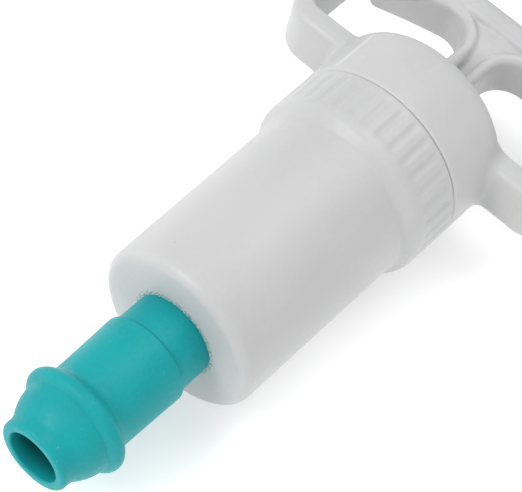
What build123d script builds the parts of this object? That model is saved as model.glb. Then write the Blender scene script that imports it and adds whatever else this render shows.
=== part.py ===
from build123d import *
import os
from math import atan2, cos, pi, sin, sqrt

# Hand suction pump, squeezed in one hand: the palm bears on the stirrup, the fingers pull the inner
# handle towards it, and a spring sends the piston back. Millimetres, pump axis along X.
# The origin is on the axis at the mouth of the soft nozzle, +X runs towards the handle,
# Y runs across the stirrup and Z is up.

os.makedirs("parts", exist_ok=True)

# ---- driving dimensions ----
# soft nozzle
mouth_radius = 5.6            # bore that takes the stem of a cup
mouth_depth = 16.0
lip_x = -0.5                  # front of the rounded lip
lip_radius = 7.75
bulb_radius = 10.35
ring_x = 10.4                 # grip ring around the bulb
ring_centre_radius = 10.45
ring_bead = 1.2
nozzle_body_front = 9.32
nozzle_body_rear = 9.67
nozzle_neck_x = 29.2
nozzle_neck_radius = 8.85
stop_radius = 4.5             # inner shoulder that stops the stem

# inlet spigot, pressed into the nozzle from inside the barrel
spigot_tip_x = 19.0
spigot_radius = 6.0
spigot_bore = 4.0
spigot_tip_radius = 5.6
barb_radius = 6.35
flange_radius = 12.6
cage_pocket_radius = 9.0
seat_land_radius = 5.6
o_ring_section = 0.75
o_ring_radius = 9.7
hole_clearance = 0.05

# barrel
barrel_front = 36.6
front_wall = 2.5
front_radius = 18.0
draft = 0.008                 # rise of the radius per mm of length
bore_radius = 16.0
front_round = 2.4
shoulder_x = 79.3
shoulder_round = 4.0
collar_x = 83.8
collar_radius = 20.35
seam_x = 95.2                 # rear end of the collar
flute_count = 36
flute_depth = 0.32
flute_cutter = 1.5

# cap, bayonet and stirrup
cap_gap = 0.3                 # shadow line between the collar and the cap
cap_radius = 20.6
cap_top = 116.0
crown_radius = 46.0
corner_round = 4.6
skirt_front = 89.1
skirt_outer = 18.15
skirt_inner = 16.4
socket_radius = 18.2          # counterbore of the collar
lug_count = 3
lug_turn = 35.0               # degrees from locked to free
lug_width = 24.0              # degrees
lug_height = 0.9
lug_x = 90.6
lug_length = 2.0
roof_inside = 109.5
cap_wall = 2.3
guide_hole_radius = 7.6
guide_hole_end = 112.3
guide_front = 104.0
guide_tube_radius = 8.4
guide_flange_radius = 12.4
guide_flange_thick = 1.5
guide_clearance = 0.15
stem_hole_clearance = 0.4
strap_front = 106.6
strap_front_thick = 5.2
strap_side_thick = 3.85
strap_half_width = 35.9
strap_depth = 13.6            # along Z
strap_edge = 1.1
strap_corner = 5.9
grip_inside = 174.5           # stirrup's far bar, at its ends
grip_thick = 5.5
grip_bow = 3.5
grip_corner_outer = 12.0
grip_corner_inner = 7.0
palm_half_length = 23.0
palm_depth = 20.0

# pull handle: flat T plate with a raised rear roll, on a ribbed stem
plate_depth = 10.8
stem_half = 3.7
stem_fillet = 7.0
wing_front = 135.3            # where the finger side starts beside the stem
wing_rear = 141.7
wing_tip_y = 28.3
wing_tip_radius = 3.4
roll_width = 6.1
roll_depth = 13.2
roll_half_length = 26.6
roll_rim = 2.6
plate_edge = 1.1
rear_tip_round = 4.2
finger_bow_x = 132.7          # a point on the finger side's long arc
finger_bow_y = 17.0
finger_tip_x = 129.2          # where that arc reaches the wing's end
slot_half = 1.3
slot_web = 2.0
slot_start = 72.0
slot_end = 132.0
slot_run_out = 4.2
rod_end = 57.6

# piston group
piston_front = 49.5
plate_thick = 1.5
seal_base = 1.5
seal_lip_end = 56.8
core_end = 57.2
land_end = 60.2
boss_end = 66.2
boss_radius = 8.6
land_radius = 15.7
vent_radius = 1.2
plate_radius = 13.4
core_radius = 13.7
screw_radius = 1.5
screw_hole = 1.6
screw_end = 68.5
screw_head_radius = 3.0
screw_head_height = 2.0
washer_thick = 0.5
washer_radius = 4.0
vent_circle = 11.4
vent_count = 6
running = 0.06

# valves
valve_lift = 1.2
inlet_seat = 42.0
inlet_disc_radius = 7.0
inlet_disc_thick = 1.2
exhaust_inner = 9.2
exhaust_outer = 13.6
exhaust_thick = 1.0
cage_x = 62.6
cage_thick = 1.3
cage_slot_floor = 12.4
cage_slot_width = 30.0        # degrees
inlet_cage_back = inlet_seat + 0.1 + inlet_disc_thick + valve_lift
inlet_cage_thick = 1.3
inlet_cage_bore = 7.4
inlet_hub_radius = 2.0
inlet_spoke_width = 1.8
inlet_spoke_count = 3
buffer_front = inlet_cage_back + inlet_cage_thick + 0.05
buffer_inner = 6.9
buffer_outer = 9.6

# return spring
spring_wire = 1.3
spring_mean_radius = 11.4
spring_coils = 9.0

inner_front = barrel_front + front_wall


# ---- helpers ----
def rounded(points):
    """Flat outline of straight runs; a third value on a point rounds that corner."""
    face = make_face(Polyline(*[(p[0], p[1]) for p in points], close=True)).face()
    for point in points:
        if len(point) > 2:
            corner = face.vertices().sort_by_distance((point[0], point[1], 0))[0]
            face = face.fillet_2d(point[2], [corner])
    return face


def turned(points):
    """Solid of revolution about X; points are (x, radius) with an optional corner rounding."""
    return revolve(rounded(points), Axis.X, 360)


def tube(x0, x1, outer, inner):
    return turned([(x0, inner), (x1, inner), (x1, outer), (x0, outer)])


def rod(x0, x1, radius):
    return Plane.YZ.offset(x0) * extrude_disc(radius, x1 - x0)


def extrude_disc(radius, length):
    return extrude(Circle(radius), length)


def block(x0, x1, y_half, z_half):
    size_x = x1 - x0
    return Pos(x0 + size_x / 2, 0, 0) * Box(size_x, 2 * y_half, 2 * z_half)


def around(solid, count, start=0.0):
    """Copies of a solid spaced evenly about X."""
    return [Rot(start + 360 / count * i, 0, 0) * solid for i in range(count)]


def sector(x0, x1, outer, inner, degrees):
    """Part of a ring about X, centred on the +Y direction."""
    profile = rounded([(x0, inner), (x1, inner), (x1, outer), (x0, outer)])
    piece = revolve(profile, Axis.X, degrees)
    return Rot(-degrees / 2, 0, 0) * piece


def save(shape, node):
    export_step(shape, f"parts/{node}.step")


# ---- soft nozzle and inlet ----
def nozzle():
    body = turned([
        (lip_x, mouth_radius, 0.45),
        (lip_x, lip_radius, 0.95),
        (2.0, lip_radius, 1.6),
        (5.4, 9.5, 4.0),
        (ring_x - 1.9, bulb_radius),
        (ring_x + 1.8, bulb_radius, 1.1),
        (ring_x + 3.1, nozzle_body_front, 1.1),
        (nozzle_neck_x - 0.5, nozzle_body_rear, 0.6),
        (nozzle_neck_x, nozzle_neck_radius + 0.1, 0.3),
        (barrel_front, nozzle_neck_radius - 0.1),
        (barrel_front, spigot_radius),
        (spigot_tip_x, spigot_radius),
        (spigot_tip_x, stop_radius),
        (mouth_depth, stop_radius),
        (mouth_depth, mouth_radius),
    ])
    bead = Pos(ring_x, 0, 0) * Rot(0, 90, 0) * Torus(ring_centre_radius, ring_bead)
    return body + bead


def inlet_spigot():
    """Hollow stem with a retaining barb, its flange and the valve seat inside the barrel."""
    body = turned([
        (spigot_tip_x, spigot_bore),
        (spigot_tip_x, spigot_tip_radius),
        (spigot_tip_x + 1.0, spigot_radius),
        (spigot_tip_x + 2.2, barb_radius),
        (spigot_tip_x + 2.6, barb_radius),
        (spigot_tip_x + 2.6, spigot_radius),
        (inner_front, spigot_radius),
        (inner_front, flange_radius),
        (inlet_seat + 0.8, flange_radius, 0.4),
        (inlet_seat + 0.8, cage_pocket_radius),
        (inlet_seat - 0.5, cage_pocket_radius),
        (inlet_seat - 0.5, seat_land_radius),
        (inlet_seat, seat_land_radius),
        (inlet_seat, spigot_bore),
    ])
    groove_outer = o_ring_radius + o_ring_section + 0.1
    groove_inner = o_ring_radius - o_ring_section - 0.1
    groove = tube(inner_front, inner_front + 2 * o_ring_section, groove_outer, groove_inner)
    return body - groove


def spigot_o_ring():
    ring = Torus(o_ring_radius, o_ring_section)
    return Pos(inner_front + o_ring_section, 0, 0) * Rot(0, 90, 0) * ring


def inlet_valve_disc():
    front = inlet_seat + 0.05
    return turned([
        (front, 0),
        (front, inlet_disc_radius),
        (front + inlet_disc_thick, inlet_disc_radius, 0.3),
        (front + inlet_disc_thick, 0),
    ])


def inlet_valve_cage():
    """Open spider that keeps the disc near its seat."""
    end = inlet_cage_back + inlet_cage_thick
    wall = tube(inlet_seat - 0.5, end, cage_pocket_radius, inlet_cage_bore)
    hub = rod(inlet_cage_back, end, inlet_hub_radius)
    reach = inlet_cage_bore - inlet_hub_radius + 0.4
    middle = (inlet_cage_bore + inlet_hub_radius) / 2
    spoke = Pos((inlet_cage_back + end) / 2, middle, 0) * Box(inlet_cage_thick, reach, inlet_spoke_width)
    spokes = around(spoke, inlet_spoke_count)
    return wall + hub + spokes


# ---- barrel ----
def barrel():
    rise = draft * (shoulder_x - barrel_front)
    shell = turned([
        (barrel_front, spigot_radius + hole_clearance),
        (barrel_front, front_radius, front_round),
        (shoulder_x, front_radius + rise, shoulder_round),
        (collar_x - 0.9, collar_radius - 0.35, 1.2),
        (collar_x + 2.0, collar_radius),
        (seam_x, collar_radius + 0.1, 0.25),
        (seam_x, socket_radius),
        (skirt_front - 0.7, socket_radius),
        (skirt_front - 0.7, bore_radius),
        (inner_front, bore_radius),
        (inner_front, spigot_radius + hole_clearance),
    ])
    cutter_centre = collar_radius + flute_cutter - flute_depth
    cutter = Pos(0, cutter_centre, 0) * rod(collar_x - 6, seam_x + 1, flute_cutter)
    shell = shell - around(cutter, flute_count)
    # bayonet: three entry slots open to the rear, each with a groove to the locked place
    slot_outer = socket_radius + lug_height + 0.15
    slot_angle = lug_width + 4
    entry = sector(lug_x - 0.3, seam_x + 1, slot_outer, socket_radius - 1, slot_angle)
    groove_angle = slot_angle + lug_turn
    groove = sector(lug_x - 0.3, lug_x + lug_length + 0.3, slot_outer, socket_radius - 1, groove_angle)
    groove = Rot(lug_turn / 2, 0, 0) * groove
    shell = shell - around(groove, lug_count) - around(Rot(lug_turn, 0, 0) * entry, lug_count)
    return shell


def cap_gasket():
    """Flat ring between the skirt of the cap and the floor of the collar."""
    return tube(skirt_front - 0.7, skirt_front - 0.1, socket_radius - 0.1, bore_radius + 0.3)


# ---- cap with stirrup ----
def strap_ring():
    """The flat band of the stirrup, closed at the palm end by a bowed bar."""
    half = strap_half_width
    rear = grip_inside + grip_thick
    outer = make_face([
        Line((strap_front, half), (strap_front, -half)),
        Line((strap_front, -half), (rear, -half)),
        ThreePointArc((rear, -half), (rear + grip_bow, 0), (rear, half)),
        Line((rear, half), (strap_front, half)),
    ]).face()
    outer = round_corners(outer, strap_front, half, strap_corner)
    outer = round_corners(outer, rear, half, grip_corner_outer)
    half_in = half - strap_side_thick
    front_in = strap_front + strap_front_thick
    inner = make_face([
        Line((front_in, half_in), (front_in, -half_in)),
        Line((front_in, -half_in), (grip_inside, -half_in)),
        ThreePointArc((grip_inside, -half_in), (grip_inside + grip_bow, 0), (grip_inside, half_in)),
        Line((grip_inside, half_in), (front_in, half_in)),
    ]).face()
    inner = round_corners(inner, front_in, half_in, strap_corner - strap_side_thick)
    inner = round_corners(inner, grip_inside, half_in, grip_corner_inner)
    band = extrude(outer, strap_depth / 2, both=True) - extrude(inner, strap_depth / 2, both=True)
    faces = band.faces().sort_by(Axis.Z)
    return fillet(faces[0].edges() + faces[-1].edges(), strap_edge)


def round_corners(face, x, y_half, radius):
    """Round the two corners of a face at (x, +-y_half)."""
    for y in (-y_half, y_half):
        corner = face.vertices().sort_by_distance((x, y, 0))[0]
        face = face.fillet_2d(radius, [corner])
    return face


def palm_rest():
    """Widening of the far bar, oval as seen from the rear and nearly as thick as the bar."""
    half = palm_half_length
    front = grip_inside + 0.5
    rear = grip_inside + grip_thick
    edge = bow_at(half)
    bar = make_face([
        ThreePointArc((front + edge, -half), (front + grip_bow, 0), (front + edge, half)),
        Line((front + edge, half), (rear + edge - 0.3, half)),
        ThreePointArc((rear + edge - 0.3, half), (rear + grip_bow + 0.6, 0), (rear + edge - 0.3, -half)),
        Line((rear + edge - 0.3, -half), (front + edge, -half)),
    ]).face()
    slab = extrude(bar, palm_depth / 2, both=True)
    oval = Pos(grip_inside - 5, 0, 0) * extrude(Plane.YZ * Ellipse(half + 4, palm_depth / 2), 25)
    pad = slab & oval
    return fillet(pad.edges().filter_by(Axis.Z, reverse=True), 1.4)


def bow_at(y):
    """How far the far bar has bowed to the rear at a distance y from the axis."""
    return grip_bow * (1 - (y / strap_half_width) ** 2)


def cap_dome():
    """Outside of the cap: a cylinder with a large rounded corner under a shallow crown."""
    crown_centre = cap_top - crown_radius
    corner_y = cap_radius - corner_round
    corner_x = crown_centre + sqrt((crown_radius - corner_round) ** 2 - corner_y ** 2)
    lean = atan2(corner_y, corner_x - crown_centre)
    meet = (crown_centre + crown_radius * cos(lean), crown_radius * sin(lean))
    turn = (lean + pi / 2) / 2
    corner_mid = (corner_x + corner_round * cos(turn), corner_y + corner_round * sin(turn))
    crown_mid = (
        crown_centre + crown_radius * cos(lean / 2),
        crown_radius * sin(lean / 2),
    )
    front = seam_x + cap_gap
    profile = make_face([
        Line((front, 0), (front, cap_radius)),
        Line((front, cap_radius), (corner_x, cap_radius)),
        ThreePointArc((corner_x, cap_radius), corner_mid, meet),
        ThreePointArc(meet, crown_mid, (cap_top, 0)),
        Line((cap_top, 0), (front, 0)),
    ]).face()
    rim = profile.vertices().sort_by_distance((front, cap_radius, 0))[0]
    return revolve(profile.fillet_2d(0.35, [rim]), Axis.X, 360)


def cap():
    body = cap_dome()
    shape = body + strap_ring() + palm_rest()
    shape = shape + rod(skirt_front, seam_x + 2, skirt_outer)
    hollow = turned([
        (skirt_front - 1, 0),
        (skirt_front - 1, skirt_inner),
        (seam_x + 2.5, skirt_inner),
        (seam_x + 4.5, cap_radius - cap_wall),
        (roof_inside - 5.0, cap_radius - cap_wall, 3.0),
        (roof_inside, guide_flange_radius + 1.3, 0.8),
        (roof_inside, 0),
    ])
    guide_hole = rod(roof_inside - 1, guide_hole_end, guide_hole_radius)
    hole_half_y = stem_half + stem_hole_clearance
    hole_half_z = plate_depth / 2 + stem_hole_clearance
    stem_hole = block(roof_inside, cap_top + 1, hole_half_y, hole_half_z)
    lug = sector(lug_x, lug_x + lug_length, socket_radius + lug_height, skirt_outer - 0.5, lug_width)
    return shape - hollow - guide_hole - stem_hole + around(lug, lug_count)


def rod_guide():
    """Bush that the ribbed stem slides in; its flange is the rear seat of the spring."""
    flange_front = roof_inside - guide_flange_thick
    body = turned([
        (guide_front, 0),
        (guide_front, guide_tube_radius, 0.4),
        (flange_front, guide_tube_radius),
        (flange_front, guide_flange_radius, 0.3),
        (roof_inside, guide_flange_radius),
        (roof_inside, guide_hole_radius),
        (guide_hole_end, guide_hole_radius),
        (guide_hole_end, 0),
    ])
    slide_y = stem_half + guide_clearance
    slide_z = plate_depth / 2 + guide_clearance
    return body - block(guide_front - 1, guide_hole_end + 1, slide_y, slide_z)


# ---- pull handle ----
def handle_half():
    """Half of the T plate and its stem, seen from above; the finger side is a long shallow arc."""
    start = (wing_front, stem_half)
    middle = (finger_bow_x, finger_bow_y)
    end = (finger_tip_x, wing_tip_y)
    face = make_face([
        Line((rod_end, 0), (rod_end, stem_half)),
        Line((rod_end, stem_half), start),
        ThreePointArc(start, middle, end),
        Line(end, (wing_rear, wing_tip_y)),
        Line((wing_rear, wing_tip_y), (wing_rear, 0)),
        Line((wing_rear, 0), (rod_end, 0)),
    ]).face()
    rear = (wing_rear, wing_tip_y)
    for corner, radius in ((start, stem_fillet), (end, wing_tip_radius), (rear, rear_tip_round)):
        vertex = face.vertices().sort_by_distance((corner[0], corner[1], 0))[0]
        face = face.fillet_2d(radius, [vertex])
    return face


def pull_handle():
    half = handle_half()
    outline = half + mirror(half, Plane.XZ)
    plate = extrude(outline, plate_depth / 2, both=True)
    faces = plate.faces().filter_by(Axis.Z).sort_by(Axis.Z)
    plate = fillet(faces[0].edges() + faces[-1].edges(), plate_edge)
    roll = Pos(wing_rear - roll_width / 2, 0, 0) * Box(roll_width, 2 * roll_half_length, roll_depth)
    roll = fillet(roll.edges().filter_by(Axis.Z), roll_width / 2 - 0.05)
    rims = roll.faces().filter_by(Axis.Z)
    roll = fillet(rims[0].edges() + rims[1].edges(), roll_rim)
    face_z = plate_depth / 2
    run_out = rounded([
        (slot_start, slot_web / 2, 0.5),
        (slot_end - 3.0, slot_web / 2, slot_run_out),
        (slot_end, face_z),
        (slot_end, face_z + 3),
        (slot_start, face_z + 3),
    ])
    slot = extrude(Plane.XZ * run_out, slot_half, both=True)
    handle = plate + roll - slot - mirror(slot, Plane.XY)
    return handle - rod(rod_end - 1, screw_end + 0.5, screw_radius)


# ---- piston group ----
def with_vents(solid, x0, x1):
    hole = Pos(0, vent_circle, 0) * rod(x0 - 1, x1 + 1, vent_radius)
    return solid - around(hole, vent_count)


def seal_retainer():
    x1 = piston_front + plate_thick
    plate = turned([
        (piston_front, screw_hole),
        (piston_front, plate_radius, 0.5),
        (x1, plate_radius),
        (x1, screw_hole),
    ])
    return with_vents(plate, piston_front, x1)


def piston_seal():
    """Cup seal: clamped base with a lip that leans back against the bore."""
    x0 = piston_front + plate_thick
    x1 = x0 + seal_base
    outer = bore_radius - running
    cup = turned([
        (x0, screw_hole),
        (x0, outer - 0.5, 0.6),
        (seal_lip_end, outer),
        (seal_lip_end, outer - 0.8),
        (x1 + 0.6, outer - 1.6, 0.4),
        (x1, core_radius + 0.3),
        (x1, screw_hole),
    ])
    return with_vents(cup, x0, x1)


def piston_body():
    x0 = piston_front + plate_thick + seal_base
    body = turned([
        (x0, screw_hole),
        (x0, core_radius),
        (core_end, core_radius),
        (core_end, land_radius),
        (land_end, land_radius, 0.3),
        (land_end, boss_radius + 0.3),
        (cage_x, boss_radius + 0.3),
        (cage_x, boss_radius),
        (boss_end, boss_radius),
        (boss_end, screw_hole),
    ])
    pocket = block(rod_end - 0.1, boss_end + 1, stem_half, plate_depth / 2)
    return with_vents(body - pocket, x0, land_end)


def exhaust_valve_ring():
    x0 = land_end + 0.05
    return tube(x0, x0 + exhaust_thick, exhaust_outer, exhaust_inner)


def exhaust_valve_cage():
    """Slotted ring on the boss: stops the valve ring and seats the spring."""
    plate = tube(cage_x, cage_x + cage_thick, exhaust_outer, boss_radius)
    slot = sector(cage_x - 1, cage_x + cage_thick + 1, exhaust_outer + 1, cage_slot_floor, cage_slot_width)
    return plate - around(slot, vent_count, cage_slot_width)


def piston_screw():
    """Pan-head screw into the end of the stem, with a cross recess."""
    head_back = piston_front - washer_thick
    head_front = head_back - screw_head_height
    head = turned([
        (head_front, 0),
        (head_front, screw_head_radius, 0.8),
        (head_back, screw_head_radius),
        (head_back, 0),
    ])
    shank = rod(head_back, screw_end, screw_radius)
    cross = Pos(head_front + 0.4, 0, 0) * (Box(1.4, 3.2, 0.7) + Box(1.4, 0.7, 3.2))
    return head + shank - cross


def screw_washer():
    return tube(piston_front - washer_thick, piston_front, washer_radius, screw_hole)


def piston_buffer():
    """Soft ring on the retainer that meets the inlet cage when the spring sends the piston home."""
    return turned([
        (buffer_front, buffer_inner, 0.5),
        (buffer_front, buffer_outer, 0.5),
        (piston_front, buffer_outer),
        (piston_front, buffer_inner),
    ])


# ---- spring ----
def return_spring():
    front = cage_x + cage_thick + 0.05
    rear = roof_inside - guide_flange_thick - 0.05
    length = rear - front - spring_wire
    pitch = length / spring_coils
    helix = Helix(pitch, length, spring_mean_radius)
    start = helix @ 0
    wire = sweep(Plane(start, z_dir=helix % 0) * Circle(spring_wire / 2), path=helix, is_frenet=True)
    return Pos(front + spring_wire / 2, 0, 0) * Rot(0, 90, 0) * wire


makers = {
    "barrel": barrel,
    "nozzle": nozzle,
    "inlet_spigot": inlet_spigot,
    "spigot_o_ring": spigot_o_ring,
    "inlet_valve_disc": inlet_valve_disc,
    "inlet_valve_cage": inlet_valve_cage,
    "cap_gasket": cap_gasket,
    "cap_and_stirrup": cap,
    "rod_guide": rod_guide,
    "pull_handle": pull_handle,
    "seal_retainer": seal_retainer,
    "piston_seal": piston_seal,
    "piston_body": piston_body,
    "exhaust_valve_ring": exhaust_valve_ring,
    "exhaust_valve_cage": exhaust_valve_cage,
    "piston_screw": piston_screw,
    "screw_washer": screw_washer,
    "piston_buffer": piston_buffer,
    "return_spring": return_spring,
}

for node, make in makers.items():
    save(make(), node)
    print("made", node)
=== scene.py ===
import bpy
import math
import numpy as np
from mathutils import Matrix, Vector


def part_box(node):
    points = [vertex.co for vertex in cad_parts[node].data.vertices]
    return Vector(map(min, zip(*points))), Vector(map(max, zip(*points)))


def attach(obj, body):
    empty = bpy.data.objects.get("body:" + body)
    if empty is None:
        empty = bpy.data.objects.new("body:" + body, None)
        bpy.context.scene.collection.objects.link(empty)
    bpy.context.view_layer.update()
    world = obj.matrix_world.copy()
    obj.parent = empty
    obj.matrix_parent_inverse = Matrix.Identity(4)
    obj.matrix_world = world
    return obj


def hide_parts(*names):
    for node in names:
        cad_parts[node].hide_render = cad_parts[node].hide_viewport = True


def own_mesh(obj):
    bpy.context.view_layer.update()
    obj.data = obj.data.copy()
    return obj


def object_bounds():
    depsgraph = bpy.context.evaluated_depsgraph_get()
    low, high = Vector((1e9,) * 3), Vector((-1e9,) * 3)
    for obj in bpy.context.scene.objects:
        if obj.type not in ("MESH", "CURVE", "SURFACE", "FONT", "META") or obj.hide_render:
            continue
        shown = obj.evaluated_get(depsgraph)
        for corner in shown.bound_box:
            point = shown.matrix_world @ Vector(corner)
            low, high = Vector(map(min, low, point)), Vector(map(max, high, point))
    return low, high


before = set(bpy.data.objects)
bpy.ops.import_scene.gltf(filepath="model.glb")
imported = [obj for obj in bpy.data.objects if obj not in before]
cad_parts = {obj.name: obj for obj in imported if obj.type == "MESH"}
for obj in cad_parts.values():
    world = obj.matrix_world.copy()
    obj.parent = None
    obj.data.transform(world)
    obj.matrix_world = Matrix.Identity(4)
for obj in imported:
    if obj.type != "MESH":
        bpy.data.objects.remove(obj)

# Looks of a hand suction pump: white mouldings, soft teal nozzle. Lengths in the
# dictionaries are millimetres along the pump's axis (x), across it (y) and up (z).
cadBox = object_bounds()
mm = 0.001
scene = bpy.context.scene
scene.view_settings.view_transform = "Standard"
print("frame loaded,", len(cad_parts), "nodes")


# ---- shader maths ----
class Wire:
    # an output socket that can be used in plain expressions
    def __init__(self, paint, socket):
        self.paint = paint
        self.socket = socket

    def __add__(self, other):
        return self.paint.maths("ADD", self, other)

    __radd__ = __add__

    def __sub__(self, other):
        return self.paint.maths("SUBTRACT", self, other)

    def __rsub__(self, other):
        return self.paint.maths("SUBTRACT", other, self)

    def __mul__(self, other):
        return self.paint.maths("MULTIPLY", self, other)

    __rmul__ = __mul__

    def __truediv__(self, other):
        return self.paint.maths("DIVIDE", self, other)

    def __rtruediv__(self, other):
        return self.paint.maths("DIVIDE", other, self)

    def __pow__(self, other):
        return self.paint.maths("POWER", self, other)


class Paint:
    # one material; its nodes are added by calling methods
    def __init__(self, name):
        self.material = bpy.data.materials.new(name)
        self.material.use_nodes = True
        self.tree = self.material.node_tree
        self.tree.nodes.clear()

    def node(self, kind, settings=None, inputs=None, output=0):
        made = self.tree.nodes.new(kind)
        for key, value in (settings or {}).items():
            if key == "stops":
                ramp = made.color_ramp
                while len(ramp.elements) < len(value):
                    ramp.elements.new(0.5)
                for element, (place, colour) in zip(ramp.elements, value):
                    element.position = place
                    element.color = colour
            else:
                setattr(made, key, value)
        for key, value in (inputs or {}).items():
            if isinstance(value, Wire):
                self.tree.links.new(value.socket, made.inputs[key])
            else:
                made.inputs[key].default_value = value
        return Wire(self, made.outputs[output])

    def maths(self, operation, *values):
        return self.node("ShaderNodeMath", {"operation": operation}, dict(enumerate(values)))

    def place(self):
        return self.node("ShaderNodeTexCoord", output="Object")

    def part(self, vector, axis):
        return self.node("ShaderNodeSeparateXYZ", inputs={0: vector}, output=axis)

    def noise(self, vector, scale, detail=2.0, roughness=0.5):
        return self.node("ShaderNodeTexNoise", inputs={
            "Vector": vector, "Scale": scale, "Detail": detail, "Roughness": roughness})

    def stretched(self, vector, sizes):
        return self.node("ShaderNodeVectorMath", {"operation": "MULTIPLY"}, {0: vector, 1: sizes})

    def between(self, value, low, high):
        # 0 below low, 1 above high, smooth between them
        return self.node("ShaderNodeMapRange", {"interpolation_type": "SMOOTHSTEP"}, {
            "Value": value, "From Min": low, "From Max": high, "To Min": 0.0, "To Max": 1.0})

    def mixed(self, factor, first, second):
        return self.node("ShaderNodeMix", {"data_type": "RGBA"}, {0: factor, 6: first, 7: second}, output=2)

    def bump(self, height, strength, distance, normal=None):
        inputs = {"Height": height, "Strength": strength, "Distance": distance}
        if normal:
            inputs["Normal"] = normal
        return self.node("ShaderNodeBump", inputs=inputs)

    def finish(self, settings):
        shader = self.node("ShaderNodeBsdfPrincipled", inputs=settings)
        output = self.tree.nodes.new("ShaderNodeOutputMaterial")
        self.tree.links.new(shader.socket, output.inputs["Surface"])
        return self.material


def colour(red, green, blue):
    # screen colour, 0 to 255, to the linear colour that shaders use
    linear = [((c / 255 + 0.055) / 1.055) ** 2.4 if c > 10 else c / 255 / 12.92 for c in (red, green, blue)]
    return (*linear, 1.0)


# ---- finishes ----
whiteShell = {
    "colour": colour(191, 191, 191),
    "shade": colour(186, 186, 187),
    "speck": colour(120, 118, 114),
    "roughness": 0.38,
    "grainScale": 5200.0,     # per metre
    "toneScale": 60.0,
    "speckScale": 330.0,
}


def paintWhiteShell(name, flow=(1.0, 1.0, 1.0), fringe=False):
    use = whiteShell
    p = Paint(name)
    at = p.place()
    tone = p.noise(p.stretched(at, flow), use["toneScale"], 3.0, 0.55)
    fine = p.noise(at, 900.0, 3.0, 0.6)
    patches = p.between(tone * 0.75 + fine * 0.25, 0.38, 0.66)
    base = p.mixed(patches, use["colour"], use["shade"])
    # sparse dust specks, each with its own chance of showing
    cells = {"Vector": at, "Scale": use["speckScale"], "Randomness": 1.0}
    near = p.node("ShaderNodeTexVoronoi", {"feature": "F1"}, cells, "Distance")
    lot = p.node("ShaderNodeTexVoronoi", {"feature": "F1"}, cells, "Color")
    chance = p.between(p.part(lot, 0), 0.93, 0.96)
    speck = (1.0 - p.between(near, 0.035, 0.10)) * chance * 0.55
    base = p.mixed(speck, base, use["speck"])
    # convex corners are painted lighter as a painted highlight, and made a little shinier
    edgeWearAndHighlight = p.between(p.node("ShaderNodeNewGeometry", output="Pointiness"), 0.51, 0.62)
    base = p.mixed(edgeWearAndHighlight * 0.5, base, colour(212, 212, 212))
    # concave creases are painted darker: painted shade
    hollow = 1.0 - p.between(p.node("ShaderNodeNewGeometry", output="Pointiness"), 0.40, 0.49)
    base = p.mixed(hollow * 0.30, base, colour(160, 160, 162))
    if fringe:
        base = paintNeckFringe(p, at, base)
    grain = p.noise(at, use["grainScale"], 2.0, 0.6)
    swell = p.noise(at, 260.0, 2.0, 0.4)
    normal = p.bump(grain, 0.10, 0.00004)
    normal = p.bump(swell, 0.16, 0.00010, normal)
    rough = use["roughness"] + (fine - 0.5) * 0.14 + patches * 0.05 - edgeWearAndHighlight * 0.08
    return p.finish({
        "Base Color": base,
        "Roughness": rough,
        "Normal": normal,
        "IOR": 1.46,
        "Specular IOR Level": 0.45,
        "Subsurface Weight": 0.3,
        "Subsurface Radius": (1.0, 1.0, 1.0),
        "Subsurface Scale": 0.0009,
    })


def paintNeckFringe(p, at, base):
    # a ragged ring around the hole that the nozzle's neck fills is painted dark teal with pale flecks
    side = p.part(at, 1)
    up = p.part(at, 2)
    radius = p.maths("SQRT", side * side + up * up)
    ragged = p.noise(at, 1500.0, 3.0, 0.7)
    ring = 1.0 - p.between(radius + (ragged - 0.5) * 0.0018, 0.0092, 0.0098)
    front = 1.0 - p.between(p.part(at, 0), 0.0370, 0.0374)
    dots = p.between(p.noise(at, 3600.0, 1.0), 0.50, 0.58)
    base = p.mixed(ring * front * (1.0 - dots) * 0.85, base, colour(62, 128, 131))
    return p.mixed(ring * front * dots * 0.7, base, colour(226, 232, 232))


tealNozzle = {
    "colour": colour(15, 154, 158),
    "shade": colour(12, 147, 152),
    "paintedHighlight": colour(40, 172, 176),
    "dust": colour(110, 190, 192),
    "paintedShade": colour(6, 84, 84),
    "roughness": 0.44,
}


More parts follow.
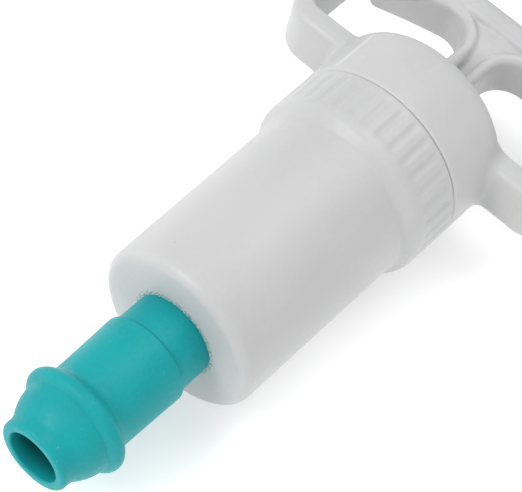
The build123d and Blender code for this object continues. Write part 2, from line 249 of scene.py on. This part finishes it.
def paintTeal(name):
    use = tealNozzle
    p = Paint(name)
    at = p.place()
    tone = p.noise(p.stretched(at, (0.6, 1.0, 1.0)), 110.0, 4.0, 0.6)
    fine = p.noise(at, 1400.0, 3.0, 0.6)
    patches = p.between(tone * 0.7 + fine * 0.3, 0.40, 0.62)
    base = p.mixed(patches, use["colour"], use["shade"])
    bend = p.node("ShaderNodeNewGeometry", output="Pointiness")
    # convex edges are painted paler teal: painted highlight, and made a little shinier
    edgeWearAndHighlight = p.between(bend, 0.515, 0.60)
    base = p.mixed(edgeWearAndHighlight * 0.55, base, use["paintedHighlight"])
    # concave creases are painted darker teal: painted shade
    paintedShade = 1.0 - p.between(bend, 0.38, 0.485)
    base = p.mixed(paintedShade * 0.45, base, colour(8, 112, 118))
    # the bore is painted darker away from the mouth: painted shade
    side = p.part(at, 1)
    up = p.part(at, 2)
    boreShade = 1.0 - p.between(p.maths("SQRT", side * side + up * up), 0.00568, 0.00585)
    base = p.mixed(boreShade * p.between(p.part(at, 0), -0.0002, 0.0035) * 0.9, base, use["paintedShade"])
    cells = {"Vector": at, "Scale": 620.0, "Randomness": 1.0}
    near = p.node("ShaderNodeTexVoronoi", {"feature": "F1"}, cells, "Distance")
    lot = p.node("ShaderNodeTexVoronoi", {"feature": "F1"}, cells, "Color")
    dust = (1.0 - p.between(near, 0.05, 0.14)) * p.between(p.part(lot, 0), 0.90, 0.93) * 0.35
    base = p.mixed(dust, base, use["dust"])
    grain = p.noise(at, 4200.0, 2.0, 0.6)
    swell = p.noise(at, 420.0, 2.0, 0.5)
    normal = p.bump(grain, 0.14, 0.00004)
    normal = p.bump(swell, 0.18, 0.00012, normal)
    rough = use["roughness"] + (fine - 0.5) * 0.22 + patches * 0.06 - edgeWearAndHighlight * 0.06
    return p.finish({
        "Base Color": base,
        "Roughness": rough,
        "Normal": normal,
        "IOR": 1.50,
        "Specular IOR Level": 0.22,
    })


hiddenFinishes = {
    "natural_plastic": (colour(226, 222, 208), colour(214, 209, 194), 0.38, 0.0),
    "grey_plastic": (colour(118, 122, 126), colour(104, 108, 113), 0.45, 0.0),
    "seal_rubber": (colour(34, 35, 36), colour(24, 25, 26), 0.62, 0.0),
    "silicone": (colour(202, 204, 200), colour(190, 193, 190), 0.52, 0.0),
    "steel": (colour(176, 178, 181), colour(150, 153, 158), 0.28, 1.0),
}


def paintHidden(slotName):
    first, second, roughness, metal = hiddenFinishes[slotName]
    p = Paint(slotName + "Finish")
    at = p.place()
    lay = p.stretched(at, (1.0, 6.0, 6.0)) if metal else at
    tone = p.noise(lay, 420.0, 3.0, 0.6)
    fine = p.noise(lay, 2600.0, 2.0, 0.6)
    base = p.mixed(p.between(tone, 0.35, 0.65), first, second)
    bend = p.node("ShaderNodeNewGeometry", output="Pointiness")
    # convex edges are painted lighter: painted highlight
    base = p.mixed(p.between(bend, 0.52, 0.62) * 0.3, base, colour(235, 235, 232))
    return p.finish({
        "Base Color": base,
        "Roughness": roughness + (fine - 0.5) * 0.16,
        "Normal": p.bump(fine, 0.15, 0.00005),
        "Metallic": metal,
    })


# ---- mesh tools ----
def addPiece(name, points, faces, material, body, nodes, sharp=math.radians(40)):
    mesh = bpy.data.meshes.new(name)
    mesh.from_pydata((np.asarray(points) * mm).tolist(), [], faces)
    mesh.validate()
    mesh.materials.append(material)
    mesh.shade_smooth()
    if sharp:
        mesh.set_sharp_from_angle(angle=sharp)
    piece = bpy.data.objects.new(name, mesh)
    scene.collection.objects.link(piece)
    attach(piece, body)
    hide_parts(*nodes)
    print("made", name, len(mesh.polygons), "faces")
    return piece


def softCorners(corners, steps=7):
    # closed outline; a third value on a corner is its rounding radius
    line = []
    count = len(corners)
    for i, corner in enumerate(corners):
        here = Vector(corner[:2])
        if len(corner) < 3:
            line.append(here)
            continue
        before, after = corners[i - 1], corners[(i + 1) % count]
        back = Vector(before[:2]) - here
        ahead = Vector(after[:2]) - here
        half = back.angle(ahead) / 2
        # a rounded neighbour needs its own share of the run between them
        reach = min(corner[2] / math.tan(half), back.length * (0.49 if len(before) > 2 else 0.98),
                    ahead.length * (0.49 if len(after) > 2 else 0.98))
        start = here + back.normalized() * reach
        end = here + ahead.normalized() * reach
        weight = math.sin(half)
        for k in range(steps + 1):
            t = k / steps
            a, b, c = (1 - t) ** 2, 2 * weight * t * (1 - t), t ** 2
            line.append((start * a + here * b + end * c) / (a + b + c))
    return line


def flowing(points, steps=5):
    # smooth line through points
    ends = [points[0]] + list(points) + [points[-1]]
    line = []
    for i in range(1, len(ends) - 2):
        p0, p1, p2, p3 = (Vector(q) for q in ends[i - 1:i + 3])
        for k in range(steps):
            t = k / steps
            line.append(0.5 * (2 * p1 + (p2 - p0) * t + (2 * p0 - 5 * p1 + 4 * p2 - p3) * t ** 2
                               + (3 * p1 - p0 - 3 * p2 + p3) * t ** 3))
    line.append(Vector(points[-1]))
    return line


def divided(line, longest):
    # closed outline with its long runs cut; longest is a length or a function of the place
    out = []
    for i, here in enumerate(line):
        ahead = line[(i + 1) % len(line)]
        limit = longest(here, ahead) if callable(longest) else longest
        parts = max(1, math.ceil((ahead - here).length / limit))
        for k in range(parts):
            out.append(here.lerp(ahead, k / parts))
    return out


def turnedSkin(line, steps, shape=None):
    # closed outline of (x, radius) turned about the axis
    rows = np.array([tuple(q) for q in line])
    angle = np.linspace(0, 2 * math.pi, steps, endpoint=False)[None, :]
    x = rows[:, :1] + 0 * angle
    radius = rows[:, 1:] + 0 * angle
    if shape:
        x, radius = shape(x, radius, angle + 0 * x)
    points = np.stack([x, radius * np.cos(angle), radius * np.sin(angle)], -1).reshape(-1, 3)
    count = len(rows)
    i = np.arange(count)[:, None]
    k = np.arange(steps)[None, :]
    j, m = (i + 1) % count, (k + 1) % steps
    faces = np.stack(np.broadcast_arrays(
        i * steps + k, i * steps + m, j * steps + m, j * steps + k), -1).reshape(-1, 4)
    area = sum(a.x * b.y - b.x * a.y for a, b in zip(line, line[1:] + line[:1]))
    if area < 0:
        faces = faces[:, ::-1]
    return points, faces.tolist()


# solid shapes as distance fields: negative inside, joined and cut with soft edges
def softMin(a, b, size):
    blend = np.clip(0.5 + 0.5 * (b - a) / size, 0, 1)
    return b + (a - b) * blend - size * blend * (1 - blend)


def softMax(a, b, size):
    return -softMin(-a, -b, size)


def both(a, b, rounding):
    # where two solids overlap, with that radius on the edge between them
    a, b = a + rounding, b + rounding
    return np.minimum(np.maximum(a, b), 0) + np.hypot(np.maximum(a, 0), np.maximum(b, 0)) - rounding


def flatBox(u, v, halfU, halfV, rounding):
    du, dv = np.abs(u) - halfU + rounding, np.abs(v) - halfV + rounding
    return np.minimum(np.maximum(du, dv), 0) + np.hypot(np.maximum(du, 0), np.maximum(dv, 0)) - rounding


def outlineField(x, y, outline):
    # distance to a closed flat outline, negative inside
    best = np.full(np.broadcast(x, y).shape, 1e9)
    inside = np.zeros(best.shape, bool)
    for a, b in zip(outline, outline[1:] + outline[:1]):
        dx, dy = b[0] - a[0], b[1] - a[1]
        length = dx * dx + dy * dy
        if length < 1e-12:
            continue
        t = np.clip(((x - a[0]) * dx + (y - a[1]) * dy) / length, 0, 1)
        best = np.minimum(best, (x - a[0] - t * dx) ** 2 + (y - a[1] - t * dy) ** 2)
        if dy:
            crosses = (a[1] > y) != (b[1] > y)
            inside ^= crosses & (x < a[0] + (y - a[1]) * dx / dy)
    best = np.sqrt(best)
    return np.where(inside, -best, best)


def moulded(field, low, high, cell):
    # skin of a distance field: one point in each cell that the surface crosses, then quads
    axes = [np.arange(l, h + cell, cell) for l, h in zip(low, high)]
    x, y, z = np.meshgrid(*axes, indexing="ij", sparse=True)
    value = field(x, y, z)
    value = np.where(np.abs(value) < 1e-6, 1e-6, value)
    inside = value < 0
    nx, ny, nz = value.shape
    corners = [(a, b, c) for a in (0, 1) for b in (0, 1) for c in (0, 1)]
    some = np.zeros((nx - 1, ny - 1, nz - 1), bool)
    every = np.ones_like(some)
    for a, b, c in corners:
        block = inside[a:nx - 1 + a, b:ny - 1 + b, c:nz - 1 + c]
        some |= block
        every &= block
    cells = np.argwhere(some & ~every)
    number = np.full(some.shape, -1)
    number[tuple(cells.T)] = np.arange(len(cells))
    total = np.zeros((len(cells), 3))
    hits = np.zeros(len(cells))
    for a in corners:
        for axis in range(3):
            if a[axis]:
                continue
            b = tuple(v + (k == axis) for k, v in enumerate(a))
            va = value[tuple((cells + a).T)]
            vb = value[tuple((cells + b).T)]
            cut = (va < 0) != (vb < 0)
            t = np.where(cut, va / np.where(cut, va - vb, 1), 0)
            spot = np.array(a)[None, :] + t[:, None] * np.eye(3)[axis]
            total += np.where(cut[:, None], spot, 0)
            hits += cut
    points = (cells + total / hits[:, None]) * cell + np.array([a[0] for a in axes])
    faces = []
    for axis in range(3):
        size = list(value.shape)
        lower = [slice(1, s - 1) for s in size]
        upper = list(lower)
        lower[axis] = slice(0, size[axis] - 1)
        upper[axis] = slice(1, size[axis])
        first, second = inside[tuple(lower)], inside[tuple(upper)]
        spots = np.argwhere(first != second)
        start = np.ones(3, int)
        start[axis] = 0
        spots = spots + start
        u, v = (axis + 1) % 3, (axis + 2) % 3
        ring = []
        for du, dv in ((0, 0), (-1, 0), (-1, -1), (0, -1)):
            step = np.zeros(3, int)
            step[u], step[v] = du, dv
            ring.append(number[tuple((spots + step).T)])
        quads = np.stack(ring, 1)
        outward = inside[tuple(spots.T)]
        quads = np.where(outward[:, None], quads, quads[:, ::-1])
        faces.append(quads)
    faces = np.concatenate(faces)
    return points, faces


def relaxed(points, faces, times, share=0.5):
    # evens a skin out without moving it much: a step in, then a step back out
    pairs = np.concatenate([faces[:, [0, 1]], faces[:, [1, 2]], faces[:, [2, 3]], faces[:, [3, 0]]])
    a, b = pairs[:, 0], pairs[:, 1]
    count = np.bincount(a, minlength=len(points)) + np.bincount(b, minlength=len(points))
    for k in range(times):
        for step in (share, -share * 1.02):
            mean = np.zeros_like(points)
            for axis in range(3):
                mean[:, axis] = (np.bincount(a, points[b, axis], len(points))
                                 + np.bincount(b, points[a, axis], len(points)))
            mean /= count[:, None]
            points = points + step * (mean - points)
    return points


whitePaint = paintWhiteShell("whiteShellFinish")
barrelPaint = paintWhiteShell("barrelFinish", (0.4, 1.0, 1.0), fringe=True)
tealPaint = paintTeal("tealNozzleFinish")
print("finishes mixed")

# ---- soft nozzle ----
nozzleSize = {
    "lip": -0.48,
    "mouthRadius": 5.6,
    "mouthDepth": 16.0,
    "stopRadius": 4.5,
    "spigotTip": 19.0,
    "spigotRadius": 6.02,
    "rear": 36.58,
    "bulb": [(1.2, 7.72), (1.9, 7.76), (2.76, 8.02), (3.84, 8.66), (4.92, 9.2), (6.0, 9.6),
             (7.08, 9.86), (8.0, 10.02), (8.5, 10.14)],
    "ring": [(8.5, 10.14), (8.72, 10.5), (9.1, 11.0), (9.6, 11.4), (10.1, 11.58), (10.6, 11.62),
             (11.1, 11.52), (11.6, 11.22), (12.05, 10.78), (12.48, 10.28), (12.95, 9.82),
             (13.5, 9.5), (14.2, 9.36), (15.0, 9.33)],
    "shoulder": 28.75,
    "bodyRadius": 9.68,
    "neckRadius": 8.93,
    "steps": 288,
}


def makeNozzle():
    s = nozzleSize
    corners = [
        (s["mouthDepth"], s["mouthRadius"]),
        (s["lip"], s["mouthRadius"], 0.5),
        (s["lip"], 7.74, 0.95),
    ]
    line = softCorners(corners + [(1.2, 7.72)])[:-1]
    line += flowing(s["bulb"]) + flowing(s["ring"])[1:]
    back = [
        (15.0, 9.33),
        (s["shoulder"], s["bodyRadius"], 0.85),
        (s["shoulder"] + 0.35, s["neckRadius"], 0.3),
        (s["rear"], 8.76),
        (s["rear"], s["spigotRadius"]),
        (s["spigotTip"], s["spigotRadius"]),
        (s["spigotTip"], s["stopRadius"]),
        (s["mouthDepth"], s["stopRadius"]),
        (s["mouthDepth"], s["mouthRadius"]),
    ]
    line += softCorners(back)[1:-1]
    line = divided(line, 1.0)

    def shape(x, radius, angle):
        # a soft moulding is never quite true
        sway = 0.025 * np.sin(2 * angle + 0.7) * np.sin(x * 0.21) + 0.012 * np.sin(5 * angle + x * 0.13)
        outer = np.clip((radius - 6.6) / 1.0, 0, 1)
        return x, radius + (sway - 0.03) * outer

    points, faces = turnedSkin(line, s["steps"], shape)
    return addPiece("softNozzle", points, faces, tealPaint, "barrel", ["nozzle"])


makeNozzle()

# ---- barrel ----
barrelSize = {
    "front": 36.6,
    "frontWall": 2.5,
    "frontRadius": 18.0,
    "frontRound": 2.3,
    "holeRadius": 6.05,
    "boreRadius": 16.0,
    "shoulder": 78.4,
    "flare": [(77.6, 18.33), (80.5, 18.34), (81.2, 18.37), (81.65, 18.5), (82.15, 18.82), (82.75, 19.36),
              (83.35, 19.86), (84.0, 20.19), (84.8, 20.38), (85.6, 20.43), (86.4, 20.4)],
    "fluteStart": 85.0,
    "fluteEnd": 94.7,
    "seam": 95.31,
    "rimRadius": 20.45,
    "socketRadius": 18.2,
    "socketFloor": 88.4,
    "fluteCount": 36,
    "fluteDepth": 0.24,
    "fluteRadius": 1.5,
    "lugCount": 3,
    "lugX": 90.6,
    "lugLength": 2.0,
    "lugWidth": 28.0,     # degrees, with its clearance
    "lugTurn": 35.0,
    "grooveRadius": 19.25,
    "steps": 576,
}


def makeBarrel():
    s = barrelSize
    line = softCorners([
        (s["front"], s["holeRadius"]),
        (s["front"], s["frontRadius"], s["frontRound"]),
        (77.6, 18.33),
        (77.6, s["holeRadius"]),
    ], 9)[:-1]
    line += flowing(s["flare"], 4)[1:]
    line += softCorners([
        (86.4, 20.4),
        (s["seam"], s["rimRadius"], 0.3),
        (s["seam"], s["socketRadius"]),
        (s["socketFloor"], s["socketRadius"]),
        (s["socketFloor"], s["boreRadius"]),
        (s["front"] + s["frontWall"], s["boreRadius"]),
        (s["front"] + s["frontWall"], s["holeRadius"]),
    ], 5)[1:]

    def longest(here, ahead):
        if min(here.y, ahead.y) > 20:
            return 0.8
        return 0.55 if here.x > 89 and here.y > 18 else 2.6

    line = divided(line, longest)

    def shape(x, radius, angle):
        centre = s["rimRadius"] - 0.1 + s["fluteRadius"] - s["fluteDepth"]
        pitch = 2 * math.pi / s["fluteCount"]
        off = (angle + pitch / 2) % pitch - pitch / 2
        reach = s["fluteRadius"] ** 2 - (centre * np.sin(off)) ** 2
        floor = centre * np.cos(off) - np.sqrt(np.maximum(reach, 0))
        floor = np.where(reach > 0, floor, floor + 24 * np.abs(off))
        fade = np.clip(np.minimum((x - s["fluteStart"]) / 2.2, (s["fluteEnd"] - x) / 0.9), 0, 1)
        fade = fade * fade * (3 - 2 * fade)
        fluted = radius + (softMin(radius, floor, 0.3) - radius) * fade
        radius = np.where(radius > 19.5, fluted, radius)
        # bayonet: grooves and their entries, cut into the socket's wall
        third = math.radians(360 / s["lugCount"])
        half = math.radians(s["lugWidth"] / 2)
        turn = math.radians(s["lugTurn"])
        place = (angle + third / 2) % third - third / 2
        inGroove = (place > -half) & (place < half + turn) & (x > s["lugX"] - 0.3)
        inGroove &= x < s["lugX"] + s["lugLength"] + 0.3
        inEntry = (place > turn - half) & (place < turn + half) & (x > s["lugX"] - 0.3)
        socket = (np.abs(radius - s["socketRadius"]) < 0.01) & (x > s["socketFloor"] + 0.1)
        radius = np.where(socket & (inGroove | inEntry), s["grooveRadius"], radius)
        return x, radius

    points, faces = turnedSkin(line, s["steps"], shape)
    return addPiece("pumpBarrel", points, faces, barrelPaint, "barrel", ["barrel"])


makeBarrel()

# ---- cap and stirrup ----
capSize = {
    "front": 95.36,
    "radius": 20.54,
    "top": 116.0,
    "crownRadius": 46.0,
    "cornerRound": 4.6,
    "skirtFront": 89.1,
    "skirtOuter": 18.15,
    "skirtInner": 16.4,
    "roof": 109.5,
    "strapFront": 106.6,
    "strapFrontThick": 5.2,
    "strapSideThick": 3.85,
    "strapHalf": 35.89,
    "strapDepth": 6.8,
    "strapCorner": 7.0,
    "strapCornerIn": 2.4,
    "strapEdge": 2.4,
    "strapInnerEdge": 0.8,
    "gripInside": 174.5,
    "gripThick": 5.5,
    "gripBow": 3.5,
    "palmHalf": 27.0,
    "palmDepth": 10.0,
    "blend": 2.2,
    "cell": 0.47,
}


def capField(x, y, z):
    s = capSize
    radius = np.hypot(y, z)
    # dome: a cylinder and a shallow crown, with a rounded corner between them
    crownCentre = s["top"] - s["crownRadius"]
    cornerRadius = s["radius"] - s["cornerRound"]
    cornerX = crownCentre + math.sqrt((s["crownRadius"] - s["cornerRound"]) ** 2 - cornerRadius ** 2)
    crown = np.hypot(x - crownCentre, radius) - s["crownRadius"]
    inCorner = (x > cornerX) & ((radius - cornerRadius) * (cornerX - crownCentre) > (x - cornerX) * cornerRadius)
    dome = np.where(inCorner, np.hypot(x - cornerX, radius - cornerRadius) - s["cornerRound"],
                    np.maximum(radius - s["radius"], crown))
    dome = both(dome, s["front"] - x, 0.45)
    # stirrup: a rounded band whose far bar bows away and widens into the palm rest
    half = s["strapHalf"]
    ramp = np.clip((x - 158) / 16, 0, 1)
    ramp = ramp * ramp * (3 - 2 * ramp)
    bow = s["gripBow"] * np.clip(1 - (y / half) ** 2, 0, 1)
    xs = x - bow * ramp
    rear = s["gripInside"] + s["gripThick"]
    middle = (s["strapFront"] + rear) / 2
    cornerOut = np.where(x > middle, 12.0, s["strapCorner"])
    outer = flatBox(xs - middle, y, (rear - s["strapFront"]) / 2, half, cornerOut)
    frontIn = s["strapFront"] + s["strapFrontThick"]
    middleIn = (frontIn + s["gripInside"]) / 2
    halfIn = half - s["strapSideThick"]
    cornerIn = np.where(x > middleIn, 7.0, s["strapCornerIn"])
    inner = flatBox(xs - middleIn, y, (s["gripInside"] - frontIn) / 2, halfIn, cornerIn)
    palm = s["palmDepth"] * np.sqrt(np.clip(1 - (y / s["palmHalf"]) ** 2, 0, 1)) * ramp
    depth = -softMin(-(s["strapDepth"] + 0 * palm), -palm, 1.2)
    stirrup = both(both(outer, np.abs(z) - depth, s["strapEdge"]), -inner, s["strapInnerEdge"])
    solid = softMin(dome, stirrup, s["blend"])
    # skirt with its bayonet lugs
    skirt = both(radius - s["skirtOuter"], np.abs(x - s["skirtFront"] - 5) - 5, 0.3)
    angle = np.arctan2(z, y)
    third = 2 * math.pi / 3
    place = np.abs((angle + third / 2) % third - third / 2) - math.radians(12)
    lug = np.maximum(np.abs(x - 91.6) - 1.0, np.abs(radius - 18.5) - 0.55)
    lug = np.maximum(lug, place * radius)
    solid = np.minimum(solid, np.minimum(skirt, lug))
    # inside: skirt bore, dome, seat of the rod guide and the stem's hole
    hollow = both(radius - s["skirtInner"], x - 101, 0.3)
    upper = both(radius - (s["radius"] - 2.3), np.maximum(x - s["roof"] + 0.16 * (radius - 8), 99.5 - x), 2.5)
    hollow = softMin(hollow, upper, 0.8)
    guide = np.maximum(radius - 7.6, np.abs(x - 109) - 3.3)
    stem = np.maximum(flatBox(y, z, 4.1, 5.8, 0.6), np.abs(x - 113) - 5)
    for cut in (hollow, guide, stem):
        solid = softMax(solid, -cut, 0.3)
    return solid


def makeCap():
    s = capSize
    lo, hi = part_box("cap_and_stirrup")
    low = [v / mm - 1.3 for v in lo]
    high = [v / mm + 1.3 for v in hi]
    points, faces = moulded(capField, low, high, s["cell"])
    points = relaxed(points, faces, 2)
    points = np.clip(points, np.array(lo) / mm, np.array(hi) / mm)
    return addPiece("capWithStirrup", points, faces.tolist(), whitePaint, "cap",
                    ["cap_and_stirrup"], None)


makeCap()

# ---- pull handle ----
handleSize = {
    "rodEnd": 57.6,
    "depth": 5.4,
    "edge": 1.5,
    "proud": 0.45,
    "stemHalf": 3.6,
    "stemFillet": 7.0,
    "fingerStart": 135.55,
    "fingerDrop": 6.5,
    "wingRear": 141.7,
    "tipY": 28.15,
    "tipRadius": 3.2,
    "rollWidth": 6.1,
    "rollHalf": 27.6,
    "rollDepth": 6.6,
    "rollEdge": 2.6,
    "slotHalf": 1.2,
    "slotWeb": 2.1,
    "slotStart": 72.0,
    "slotEnd": 131.0,
    "valley": 1.4,
    "cell": 0.27,
}


def handleOutline():
    s = handleSize
    # half of the T seen from above, then its mirror image
    arc = []
    for k in range(25):
        y = s["stemHalf"] + (s["tipY"] - s["stemHalf"]) * k / 24
        bend = (k / 24) ** 1.4
        arc.append((s["fingerStart"] - s["fingerDrop"] * bend, y))
    half = [(s["rodEnd"], 0), (s["rodEnd"], s["stemHalf"]), (*arc[0], s["stemFillet"])]
    half += arc[8:-1:2] + [(*arc[-1], s["tipRadius"]), (s["wingRear"], s["tipY"], 4.2), (s["wingRear"], 0)]
    line = [tuple(q) for q in softCorners(half, 10)]
    return line[1:-1] + [(x, -y) for x, y in reversed(line[1:-1])]


def handleField(x, y, z):
    s = handleSize
    flat = outlineField(x[:, :, 0], y[:, :, 0], handleOutline())[:, :, None]
    flat = flat - s["proud"] * np.clip((x - 117) / 4, 0, 1) * np.clip((139 - x) / 3, 0, 1)
    side = np.abs(y)
    # valley between the finger rim and the roll, widest at the wing tips
    away = np.clip(-flat, 0, 9)
    lowered = np.clip((away - 1.9) / 1.2, 0, 1)
    lowered = lowered * lowered * (3 - 2 * lowered) * np.clip((x - 124) / 5, 0, 1)
    depth = s["depth"] - s["valley"] * lowered * (0.5 + 0.5 * np.clip((side - 2) / 6, 0, 1))
    plate = both(flat, np.abs(z) - depth, s["edge"])
    roll = flatBox(x - (s["wingRear"] - s["rollWidth"] / 2), y, s["rollWidth"] / 2, s["rollHalf"], 3.0)
    roll = both(roll, np.abs(z) - s["rollDepth"], s["rollEdge"])
    solid = softMin(plate, roll, 0.9)
    # weight-saving slots leave a web along the stem; they run out in a curve
    up = np.abs(z)
    runOut = s["slotEnd"] - np.clip(s["depth"] - up, 0, 9) ** 1.2 * 1.25
    ends = np.maximum(s["slotStart"] - x, (x - runOut) * 0.6)
    slot = both(both(side - s["slotHalf"], s["slotWeb"] - up, 0.7), ends, 1.0)
    solid = softMax(solid, -slot, 2.4)
    screw = np.maximum(np.hypot(y, z) - 1.5, x - 69.0)
    return np.maximum(solid, -screw)


def makeHandle():
    s = handleSize
    lo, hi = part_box("pull_handle")
    low = [v / mm - 1.1 for v in lo]
    high = [v / mm + 1.1 for v in hi]
    points, faces = moulded(handleField, low, high, s["cell"])
    points = relaxed(points, faces, 2)
    points = np.clip(points, np.array(lo) / mm, np.array(hi) / mm)
    return addPiece("pullHandle", points, faces.tolist(), whitePaint, "piston",
                    ["pull_handle"], None)


makeHandle()

# ---- return spring ----
springSize = {"wire": 1.3, "radius": 11.4, "coils": 9.0, "perTurn": 60, "around": 14}


def makeSpring():
    s = springSize
    lo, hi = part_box("return_spring")
    start, end = lo.x / mm + s["wire"] / 2, hi.x / mm - s["wire"] / 2
    count = int(s["coils"] * s["perTurn"])
    t = np.linspace(0, 1, count + 1)
    turn = 2 * math.pi * s["coils"] * t
    centre = np.stack([start + (end - start) * t, s["radius"] * np.cos(turn), s["radius"] * np.sin(turn)], -1)
    along = np.gradient(centre, axis=0)
    along /= np.linalg.norm(along, axis=1)[:, None]
    outward = np.stack([0 * t, np.cos(turn), np.sin(turn)], -1)
    third = np.cross(along, outward)
    a = np.linspace(0, 2 * math.pi, s["around"], endpoint=False)
    points = (centre[:, None] + s["wire"] / 2 * 0.995 * (
        np.cos(a)[None, :, None] * outward[:, None] + np.sin(a)[None, :, None] * third[:, None]))
    points = points.reshape(-1, 3)
    n = s["around"]
    faces = []
    for i in range(count):
        for k in range(n):
            m = (k + 1) % n
            faces.append((i * n + k, i * n + m, (i + 1) * n + m, (i + 1) * n + k))
    faces.append(tuple(range(n))[::-1])
    faces.append(tuple(range(count * n, count * n + n)))
    piece = addPiece("returnCoil", points, faces, hidden["steel"], "cap", ["return_spring"])
    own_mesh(piece)
    return piece


hidden = {name: paintHidden(name) for name in hiddenFinishes}
makeSpring()

# ---- inner parts keep their CAD shapes ----
innerParts = {
    "inlet_spigot": "natural_plastic", "inlet_valve_cage": "natural_plastic",
    "rod_guide": "natural_plastic", "seal_retainer": "grey_plastic",
    "piston_body": "grey_plastic", "exhaust_valve_cage": "grey_plastic",
    "spigot_o_ring": "seal_rubber", "cap_gasket": "seal_rubber",
    "piston_seal": "seal_rubber", "piston_buffer": "seal_rubber",
    "inlet_valve_disc": "silicone", "exhaust_valve_ring": "silicone",
    "piston_screw": "steel", "screw_washer": "steel",
}
for nodeName, slotName in innerParts.items():
    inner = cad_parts[nodeName]
    for holder in inner.material_slots:
        holder.material = hidden[slotName]
print("inner parts painted")

# ---- floor, light and camera ----
studio = {
    "floorSize": 3.0,
    "floorGlow": 0.26,
    "sky": 0.76,
    "key": 5.1,
    "keyPlace": (-0.62, 0.36, 0.76),
    "fill": 3.2,
    "fillPlace": (0.45, -0.05, 1.05),
}


def makeFloor():
    lowest = cadBox[0].z
    half = studio["floorSize"] / 2
    mesh = bpy.data.meshes.new("studioFloor")
    mesh.from_pydata([(-half, -half, lowest), (half, -half, lowest), (half, half, lowest), (-half, half, lowest)],
                     [], [(0, 1, 2, 3)])
    p = Paint("floorFinish")
    tone = p.noise(p.place(), 8.0, 2.0, 0.5)
    base = p.mixed(tone, (0.93, 0.93, 0.93, 1), (0.96, 0.96, 0.96, 1))
    mesh.materials.append(p.finish({
        "Base Color": base,
        "Roughness": 0.9,
        "Specular IOR Level": 0.1,
        "Emission Color": (1, 1, 1, 1),
        "Emission Strength": studio["floorGlow"],
    }))
    floor = bpy.data.objects.new("studioFloor", mesh)
    scene.collection.objects.link(floor)


def makeLight(name, place, size, power, aim=(0.08, 0, 0)):
    lamp = bpy.data.lights.new(name, "AREA")
    lamp.shape = "DISK"
    lamp.size = size
    lamp.energy = power
    light = bpy.data.objects.new(name, lamp)
    light.location = place
    light.rotation_euler = (Vector(aim) - Vector(place)).to_track_quat("-Z", "Y").to_euler()
    scene.collection.objects.link(light)


def makeCamera():
    lens = bpy.data.cameras.new("studioCamera")
    lens.lens = 137.93
    lens.sensor_width = 36.0
    lens.clip_start = 0.01
    camera = bpy.data.objects.new("studioCamera", lens)
    right = Vector((0.652, -0.741, 0.160)).normalized()
    back = Vector((-0.495, -0.256, 0.830))
    back = (back - right * back.dot(right)).normalized()
    up = back.cross(right)
    camera.matrix_world = Matrix.Translation((-0.1268, -0.0968, 0.3184)) @ Matrix(
        (right, up, back)).transposed().to_4x4()
    scene.collection.objects.link(camera)
    scene.camera = camera


makeFloor()
makeLight("keyLight", studio["keyPlace"], 0.5, studio["key"])
makeLight("fillLight", studio["fillPlace"], 0.8, studio["fill"])
makeCamera()
world = bpy.data.worlds.new("studioSky")
world.use_nodes = True
sky = world.node_tree.nodes["Background"]
sky.inputs["Color"].default_value = (1, 1, 1, 1)
sky.inputs["Strength"].default_value = studio["sky"]
scene.world = world
print("studio set")
